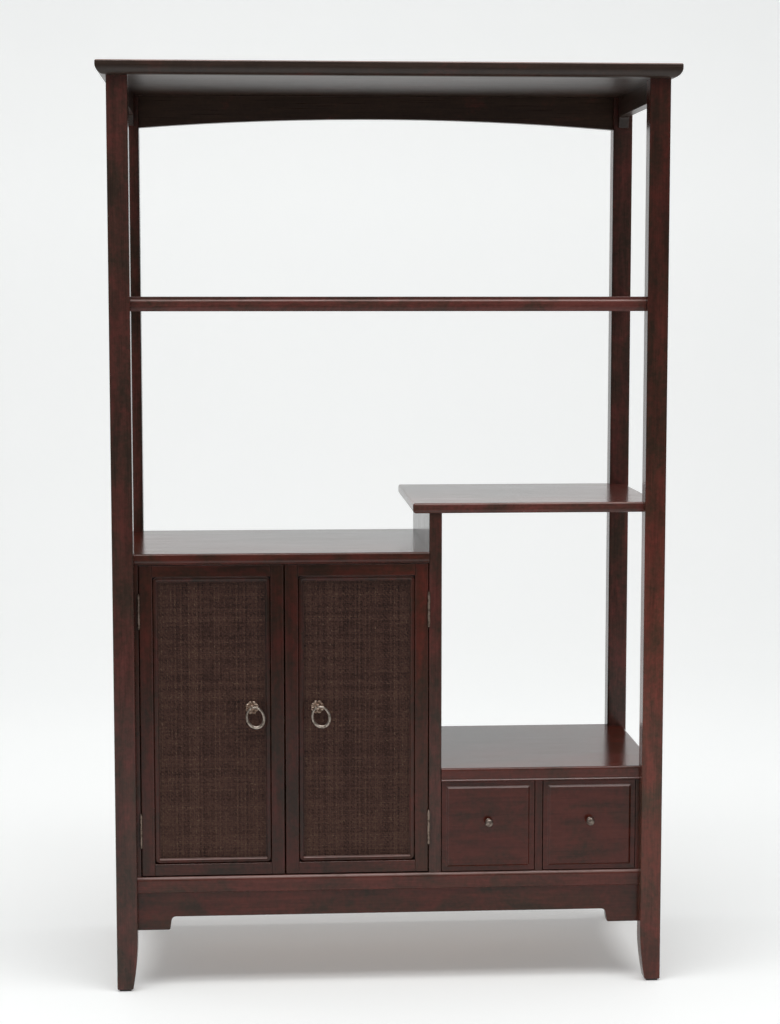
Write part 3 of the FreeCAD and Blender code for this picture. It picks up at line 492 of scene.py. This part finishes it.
shelfLook, caseLook, doorLook = (kinds[kind][1:] for kind in ("shelf", "case", "door"))
shelfLow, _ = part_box("upper_shelf")
stilesLow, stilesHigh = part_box("left_door_stiles")
trimFinish = woodFinish("lacqueredTrim", "x", {**dryLacquer, "round": shelfTrim["ease"]}, *shelfLook)
makePiece("upperShelfTrim",
          carriedAlong(shelfTrim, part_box("post_front_left")[1][0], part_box("post_front_right")[0][0],
                       shelfLow[1], shelfLow[2]),
          "root", trimFinish, smoothAngle=shelfTrim["smooth"])
stripFinish = woodFinish("lacqueredStrip", "x", {**lacquer, "round": headStrip["ease"]}, *caseLook)
makePiece("doorHeadStrip",
          carriedAlong(headStrip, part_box("left_hinge_strip")[1][0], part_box("divider")[0][0],
                       stilesLow[1], stilesHigh[2]),
          "root", stripFinish, smoothAngle=headStrip["smooth"])
print("shelf edge and gap strip made")

# Woven panels of the doors

panel = {"inset": 0.009, "depth": 0.0012, "width": 0.38, "rise": 0.00045, "thick": 0.00025,
         "backDepth": 0.0019, "backBevel": 0.0004, "wander": 0.05, "swell": 0.12,
         "swellLimits": (0.7, 1.25), "seed": {"x": 7, "z": 11}}


def ribbonSheet(low, high, face, grain):
    # strands along u at every pitch of v; each crosses over and under:
    # y = face - rise * cos(pi * u / pitch + pi * strand), bowed a little across its width
    pitch = cane["pitch"]
    (uLow, vLow), (uHigh, vHigh) = low, high
    strands = int((vHigh - vLow) / pitch)
    crossings = int((uHigh - uLow) / pitch)
    v = vLow + (np.arange(strands) + 0.5) * (vHigh - vLow) / strands
    u = np.linspace(uLow, uHigh, crossings * 2 + 1)
    across = np.array([-1, 0, 1]) * panel["width"] * pitch
    rng = np.random.default_rng(panel["seed"][grain])
    wander = rng.normal(0, panel["wander"], (strands, 1, 1)) * pitch
    swell = 1 + panel["swell"] * rng.normal(0, 1, (strands, len(u), 1))
    swell = np.clip(swell, *panel["swellLimits"])
    step = (u - uLow) / (uHigh - uLow) * crossings
    phase = np.pi * (step[None, :, None] + np.arange(strands)[:, None, None] + (0 if grain == "x" else 1))
    bow = np.array([0, 1, 0]) * panel["thick"]
    y = face - panel["rise"] * np.cos(phase) - bow + np.zeros((strands, len(u), 3))
    vv = v[:, None, None] + wander + across * swell
    uu = u[None, :, None] + np.zeros_like(vv)
    if grain == "x":
        points = np.stack([uu, y, vv], -1)
    else:
        points = np.stack([vv, y, uu], -1)
    single = gridFaces(len(u), 3, False, False)
    faces = single[None] + (np.arange(strands) * len(u) * 3)[:, None, None]
    if grain != "x":
        faces = faces[:, :, ::-1]
    return points.reshape(-1, 3), faces.reshape(-1, 4)


for side in ("left", "right"):
    body = side + "_door"
    beadLow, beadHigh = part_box(side + "_door_bead")
    panelLow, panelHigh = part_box(side + "_door_panel")
    low = (beadLow[0] + panel["inset"], beadLow[2] + panel["inset"])
    high = (beadHigh[0] - panel["inset"], beadHigh[2] - panel["inset"])
    face = panelLow[1]
    # the dark sheet behind the weave is painted shade, in place of the dim inside of the cupboard
    backLow = (panelLow[0], face + panel["backDepth"], panelLow[2])
    makePiece(side + "CaneBacking", boxSurface(backLow, panelHigh, panel["backBevel"]), body,
              caneBacking, (side + "_door_panel",))
    makePiece(side + "CaneWeft", ribbonSheet(low, high, face + panel["depth"], "x"), body,
              caneWeftFinish, (side + "_door_panel",), smoothAngle=0, weld=0)
    makePiece(side + "CaneWarp", ribbonSheet(low[::-1], high[::-1], face + panel["depth"], "z"), body,
              caneWarpFinish, (side + "_door_panel",), smoothAngle=0, weld=0)
print("woven panels made")

# Beads round the panels

bead = {"half": 0.00475, "height": 0.005, "corner": 0.0048, "step": 0.0009, "lip": 0.0014,
        "towardsFrame": 0.1, "fullness": 0.8, "points": 15, "ease": 0.0002, "smooth": 50}


def roundedFrame(low, high, radius, turns=8):
    # rectangle in X and Z with round corners: (points, outward directions)
    quarter = np.linspace(0, math.pi / 2, turns)
    angle = np.concatenate([quarter + k * math.pi / 2 for k in range(4)])
    out = np.stack([np.cos(angle), np.sin(angle)], -1)
    corner = np.repeat([[high[0], high[2]], [low[0], high[2]], [low[0], low[2]], [high[0], low[2]]],
                       turns, axis=0)
    inward = np.repeat([[-1, -1], [1, -1], [1, 1], [-1, 1]], turns, axis=0) * radius
    flat = corner + inward + out * radius
    points = np.stack([flat[:, 0], np.zeros(len(flat)), flat[:, 1]], -1)
    return points, np.stack([out[:, 0], np.zeros(len(out)), out[:, 1]], -1)


def beadSurface(side):
    # half ellipse with a small step towards the cane, carried round the frame
    low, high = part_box(side + "_door_bead")
    low, high = np.array(low), np.array(high)
    face = high[1]
    half = bead["half"]
    path, outward = roundedFrame(low + half, high - half, bead["corner"])
    path[:, 1] = face
    turn = np.linspace(0, math.pi, bead["points"])
    across = bead["towardsFrame"] * half + (1 - bead["towardsFrame"]) * half * np.cos(turn)
    height = bead["lip"] + (bead["height"] - bead["lip"]) * np.sin(turn) ** bead["fullness"]
    profile = [(half, 0), *zip(across, height), (-half, bead["step"]), (-half, 0)]
    upwards = np.broadcast_to(np.array([0, -1.0, 0]), path.shape)
    return swept(path, outward, upwards, profile)


beadFinish = woodFinish("lacqueredBead", "z", {**lacquer, "round": bead["ease"]}, *doorLook)
for side in ("left", "right"):
    makePiece(side + "DoorBead", beadSurface(side), side + "_door", beadFinish,
              (side + "_door_bead",), smoothAngle=bead["smooth"])
print("beads made")

# Ring pulls

joints = {row["name"]: row for row in frame["joints"]}
pull = {"radius": 0.012, "valley": 0.0099, "lobes": 8, "rim": 0.0009, "petal": 0.0017,
        "hubRise": 0.0026, "around": 128, "petalFrom": 0.42, "petalRun": 0.62, "hubTo": 0.5,
        "rise": 0.0017, "reach": 0.013, "loop": 0.0037, "loopWire": 0.0011, "ball": 0.0020,
        "ballDrop": 0.0066, "neck": 0.0024, "edgeShare": 0.55,
        "stem": ((0.0044, 0), (0.0044, 0.0042), (0.0026, 0.0052), (0.0021, 0.0075))}
ring = {"halfWide": 0.0146, "halfTall": 0.018, "lean": 18.0, "slip": 15.8, "thin": 0.0017,
        "thick": 0.0029, "around": 120, "smooth": 80}


def rosetteSurface(centre):
    # polar grid: radius = share * edge, whose edge swells once for every lobe;
    # height = rim + a dome on every petal + a hub that rises towards the middle
    around = pull["around"]
    angle = np.linspace(0, 2 * math.pi, around, endpoint=False)[:, None]
    swell = np.abs(np.sin(angle * pull["lobes"] / 2))
    edge = pull["valley"] + (pull["radius"] - pull["valley"]) * swell ** 0.7
    share = np.concatenate([np.linspace(0, 0.96, 26), [1.0, 1.0, 0.5, 0.0]])[None, :]
    dome = np.sin(math.pi * np.clip((share - pull["petalFrom"]) / pull["petalRun"], 0, 1))
    hub = np.clip(1 - share / pull["hubTo"], 0, 1)
    height = pull["rim"] + pull["petal"] * swell ** 0.6 * dome
    height = height + pull["hubRise"] * (hub * (2 - hub)) ** 0.5
    height[:, -4] *= pull["edgeShare"]
    height[:, -3:] = 0
    radius = share * edge
    points = np.stack([centre[0] + radius * np.sin(angle), centre[1] - height,
                       centre[2] + radius * np.cos(angle)], -1)
    return points, gridFaces(around, share.shape[1], True, False)


def ballProfile(radius):
    turn = np.linspace(-math.pi / 2, math.pi / 2, 15)
    return np.stack([np.cos(turn), np.sin(turn)], -1) * radius


def pullSurfaces(side):
    # rosette, stem, loop round the ring's wire and a ball under it, one casting
    eye = np.array(joints[side + "_ring_swing"]["pos_m"])
    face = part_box(side + "_door_panel")[0][1]
    seat = np.array([eye[0], face, eye[2] - pull["rise"]])
    reach = pull["reach"] - pull["loop"]
    stem = np.concatenate([[(0, 0)], rounded([*pull["stem"], (pull["neck"], reach), (0, reach)])])
    post = turned((eye[0], face, eye[2]), (0, -1, 0), (1, 0, 0), stem, 32)
    angle = np.linspace(0, 2 * math.pi, 36, endpoint=False)
    spoke = np.stack([np.zeros(36), np.cos(angle), np.sin(angle)], -1)
    aside = np.broadcast_to(np.array([1.0, 0, 0]), spoke.shape)
    loop = swept(eye + spoke * pull["loop"], spoke, aside, circle(14, pull["loopWire"]))
    drop = eye - np.array([0, 0, pull["ballDrop"]])
    ball = turned(drop, (0, 0, -1), (1, 0, 0), ballProfile(pull["ball"]), 24)
    return joined([rosetteSurface(seat), post, loop, ball])


def ringSurface(side):
    # wire round a leaning oval, point = long * cos(t) + short * sin(t), moved so that one point lies
    # in the eye; the wire grows from thin at the eye to thick opposite it
    eye = np.array(joints[side + "_ring_swing"]["pos_m"])
    lean = math.radians(ring["lean"])
    longWay = np.array([-math.sin(lean), 0, math.cos(lean)]) * ring["halfTall"]
    shortWay = np.array([math.cos(lean), 0, math.sin(lean)]) * ring["halfWide"]
    first = math.atan2(ring["halfWide"] * math.sin(lean), ring["halfTall"] * math.cos(lean))
    around = ring["around"]
    angle = np.linspace(0, 2 * math.pi, around, endpoint=False)
    turn = (first - math.radians(ring["slip"]) + angle)[:, None]
    path = longWay * np.cos(turn) + shortWay * np.sin(turn)
    way = shortWay * np.cos(turn) - longWay * np.sin(turn)
    way /= np.linalg.norm(way, axis=1)[:, None]
    across = np.stack([-way[:, 2], np.zeros(around), way[:, 0]], -1)
    upwards = np.broadcast_to(np.array([0, 1.0, 0]), across.shape)
    size = ring["thin"] + (ring["thick"] - ring["thin"]) * (1 - np.cos(angle)) / 2
    return swept(eye + path - path[0], across, upwards, circle(24), size)


for side in ("left", "right"):
    makePiece(side + "PullPlate", pullSurfaces(side), side + "_door", rosetteBrass,
              (side + "_ring_plate",))
    makePiece(side + "PullRing", ringSurface(side), side + "_ring", ringBrass,
              (side + "_pull_ring",), smoothAngle=ring["smooth"])
print("ring pulls made")

# Drawer knobs

knob = {"profile": ((0.0052, 0.0001), (0.0052, 0.0011), (0.0040, 0.0019), (0.0026, 0.0028),
                    (0.0023, 0.0052), (0.0027, 0.0082), (0.0050, 0.0098), (0.0070, 0.0110),
                    (0.0073, 0.0124), (0.0067, 0.0148), (0.0046, 0.0168), (0, 0.0179)),
        "foot": 0.0001, "steps": 5, "ease": 0.4, "sides": 48}
for side in ("left", "right"):
    low, high = np.array(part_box(side + "_drawer_knob"))
    seat = ((low[0] + high[0]) / 2, high[1], (low[2] + high[2]) / 2)
    profile = np.concatenate([[(0, knob["foot"])], rounded(knob["profile"], knob["steps"], knob["ease"])])
    makePiece(side + "DrawerKnob", turned(seat, (0, -1, 0), (1, 0, 0), profile, knob["sides"]),
              side + "_drawer", knobBrass, (side + "_drawer_knob",))
print("knobs made")

# Hinges

hinge = {"length": 0.057, "radius": 0.0023, "bore": 0.00125, "halfGap": 0.00075, "leafThick": 0.001,
         "leafDepth": 0.016, "leafBevel": 0.0002, "web": 0.001, "toFace": 0.0029, "play": 0.0003,
         "ease": 0.0003, "pin": 0.0012, "pinOut": 0.0025, "finial": 0.0018, "screw": 0.0021,
         "screwDepth": 0.0105, "screwSpread": 0.019, "screwDome": 0.00032, "screwUnder": 0.0002,
         "slotDepth": 0.00025, "slotHalf": 0.16, "slotWay": (0.8, 0.6)}


def knuckle(x, y, low, high):
    # tube with eased ends, revolved about the pin
    outer, bore, ease = hinge["radius"], hinge["bore"], hinge["ease"]
    profile = [(bore, 0), (outer - ease, 0), (outer, ease), (outer, high - low - ease),
               (outer - ease, high - low), (bore, high - low)]
    return turned((x, y, low), (0, 0, 1), (1, 0, 0), profile, 32, True)


def screwHead(seat, way):
    # shallow dome with a driver's slot: height drops inside a narrow strip across the middle
    angle = np.linspace(0, 2 * math.pi, 32, endpoint=False)[:, None]
    radius = np.append(np.linspace(0, 1, 8), 0)[None, :]
    across, up = radius * np.cos(angle), radius * np.sin(angle)
    fromSlot = np.abs(across * hinge["slotWay"][0] + up * hinge["slotWay"][1])
    height = hinge["screwDome"] * (1 - radius ** 2) ** 0.5
    height = height - np.where(fromSlot < hinge["slotHalf"], hinge["slotDepth"], 0)
    height[:, -1] = -hinge["screwUnder"]
    size = hinge["screw"]
    points = np.stack([seat[0] + way * height, seat[1] + across * size, seat[2] + up * size], -1)
    return points, gridFaces(32, 9, True, False)


def hingeHalf(side, onDoor):
    # leaf, its knuckles and their webs, for the two hinges of one door
    row = joints[side + "_door_hinge"]["pos_m"]
    x, y = row[0], row[1]
    towardsDoor = 1 if side == "left" else -1
    way = towardsDoor if onDoor else -towardsDoor
    boxLow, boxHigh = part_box(side + "_door_hinge_leaves")
    third, play = hinge["length"] / 3, hinge["play"] / 2
    face = y + hinge["toFace"]
    near = x + way * hinge["halfGap"]
    xs = sorted((near, near + way * hinge["leafThick"]))
    parts = []
    for low in (boxLow[2], boxHigh[2] - hinge["length"]):
        high = low + hinge["length"]
        parts.append(boxSurface((xs[0], face, low), (xs[1], face + hinge["leafDepth"], high),
                                hinge["leafBevel"]))
        if onDoor:
            spans = [(low + third + play, high - third - play)]
        else:
            spans = [(low, low + third - play), (high - third + play, high)]
        for start, end in spans:
            parts.append(knuckle(x, y, start, end))
            parts.append(boxSurface((xs[0], y, start), (xs[1], face + hinge["web"], end),
                                    hinge["leafBevel"]))
        for step in (-1, 0, 1):
            level = (low + high) / 2 + step * hinge["screwSpread"]
            centre = (near, face + hinge["screwDepth"], level)
            parts.append(screwHead(centre, -way))
    return joined(parts)


def pinSurfaces():
    # straight pins that end in small balls, each pin one profile from pole to pole
    parts = []
    run, out = hinge["length"], hinge["pinOut"]
    neck = math.acos(hinge["pin"] / hinge["finial"])
    turn = np.linspace(-math.pi / 2, neck, 12)
    foot = np.stack([np.cos(turn), np.sin(turn)], -1) * hinge["finial"] - [0, out - hinge["finial"]]
    head = foot[::-1] * [1, -1] + [0, run]
    profile = np.concatenate([foot, head])
    for side in ("left", "right"):
        x, y = joints[side + "_door_hinge"]["pos_m"][:2]
        boxLow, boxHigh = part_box(side + "_door_hinge_leaves")
        for low in (boxLow[2], boxHigh[2] - hinge["length"]):
            parts.append(turned((x, y, low), (0, 0, 1), (1, 0, 0), profile, 20))
    return joined(parts)


makePiece("fixedHinges", joined([hingeHalf("left", False), hingeHalf("right", False)]), "root",
          hingeBrass, ("fixed_hinge_leaves",))
for side in ("left", "right"):
    makePiece(side + "DoorHinges", hingeHalf(side, True), side + "_door", hingeBrass,
              (side + "_door_hinge_leaves",))
makePiece("hingePins", pinSurfaces(), "root", hingeBrass, ("hinge_pins",))
print("hinges made")

# Floor, light and camera

backdrop = {"front": -3.0, "rear": 3.2, "radius": 1.6, "height": 5.0, "half": 7.0,
            "dark": (0.79, 0.805, 0.797), "pale": (0.81, 0.82, 0.812), "rough": 0.85, "shine": 0.1,
            "glow": (-0.9, 4.2, 0.18, 0.36)}


def backdropPiece():
    # floor, then a quarter circle, then a wall: a profile carried along X
    turn = np.linspace(0, math.pi / 2, 24)
    curveY = backdrop["rear"] + backdrop["radius"] * np.sin(turn)
    curveZ = backdrop["radius"] * (1 - np.cos(turn))
    y = np.concatenate([[backdrop["front"]], curveY, [curveY[-1]]])
    z = np.concatenate([[0], curveZ, [backdrop["height"]]])
    x = np.array([-backdrop["half"], backdrop["half"]])
    points = np.stack([np.broadcast_to(x[:, None], (2, len(y))), np.broadcast_to(y, (2, len(y))),
                       np.broadcast_to(z, (2, len(y)))], -1)
    mesh = bpy.data.meshes.new("backdrop")
    mesh.from_pydata(points.reshape(-1, 3).tolist(), [], gridFaces(2, len(y), False, False).tolist())
    mesh.polygons.foreach_set("use_smooth", np.ones(len(mesh.polygons), bool))
    piece = bpy.data.objects.new("backdrop", mesh)
    bpy.context.collection.objects.link(piece)
    finish = Finish("paleStudioPaper")
    grain = finish.noise(finish.place(), 3, 2, 0.5)
    # the paper glows, painted light that grows from dim near the front to brighter at the wall and lifts the
    # shadow under the cabinet
    depth = finish.part(finish.add("TexCoord", out=3), 1)
    glow = finish.grey(finish.span(depth, *backdrop["glow"]))
    finish.link(Base_Color=finish.mix(grain, backdrop["dark"], backdrop["pale"]),
                Roughness=backdrop["rough"], Specular_IOR_Level=backdrop["shine"],
                Emission_Color=glow, Emission_Strength=1.0)
    piece.data.materials.append(finish.material)


backdropPiece()


def softLight(name, place, aim, size, power):
    # rectangular lamp whose light leaves from place towards aim
    data = bpy.data.lights.new(name, "AREA")
    data.shape = "RECTANGLE"
    data.size, data.size_y = size
    data.energy = power
    lamp = bpy.data.objects.new(name, data)
    bpy.context.collection.objects.link(lamp)
    place, aim = np.array(place, float), np.array(aim, float)
    back = (place - aim) / np.linalg.norm(place - aim)
    right = np.cross([0.001, 1, 0] if abs(back[2]) > 0.9 else [0, 0, 1], back)
    right /= np.linalg.norm(right)
    up = np.cross(back, right)
    basis = np.eye(4)
    basis[:3, 0], basis[:3, 1], basis[:3, 2], basis[:3, 3] = right, up, back, place
    lamp.matrix_world = Matrix(basis.tolist())


softLight("overheadLight", (-0.1, -0.75, 3.9), (0, 0, 0), (4.8, 2.8), 158)
softLight("stripLight", (0.0, -0.95, 3.8), (0.0, -0.2, 0), (3.8, 0.5), 16)

surround = {"colour": (0.96, 0.98, 1.0, 1), "strength": 0.22}
world = bpy.data.worlds.new("studioWorld")
world.use_nodes = True
glowNode = world.node_tree.nodes["Background"]
glowNode.inputs[0].default_value = surround["colour"]
glowNode.inputs[1].default_value = surround["strength"]
bpy.context.scene.world = world
bpy.context.scene.view_settings.view_transform = "Standard"

# angles in radians, the focal length in pixels of a picture that is 1024 high
view = {"place": (-0.243, -3.8844, 1.2141), "yaw": 0.0655, "pitch": 0.10148, "focal": 2156.95,
        "tall": 1024, "sensor": 36, "far": 60}


def makeCamera():
    data = bpy.data.cameras.new("photoCamera")
    data.sensor_width = view["sensor"]
    data.lens = view["focal"] * view["sensor"] / view["tall"]
    data.clip_end = view["far"]
    camera = bpy.data.objects.new("photoCamera", data)
    bpy.context.collection.objects.link(camera)
    yaw, pitch = view["yaw"], view["pitch"]
    forward = np.array([math.sin(yaw) * math.cos(pitch), math.cos(yaw) * math.cos(pitch),
                        -math.sin(pitch)])
    right = np.array([math.cos(yaw), -math.sin(yaw), 0])
    basis = np.eye(4)
    basis[:3, 0], basis[:3, 1], basis[:3, 2] = right, np.cross(right, forward), -forward
    basis[:3, 3] = view["place"]
    camera.matrix_world = Matrix(basis.tolist())
    bpy.context.scene.camera = camera


makeCamera()
print("stage, lights and camera made")
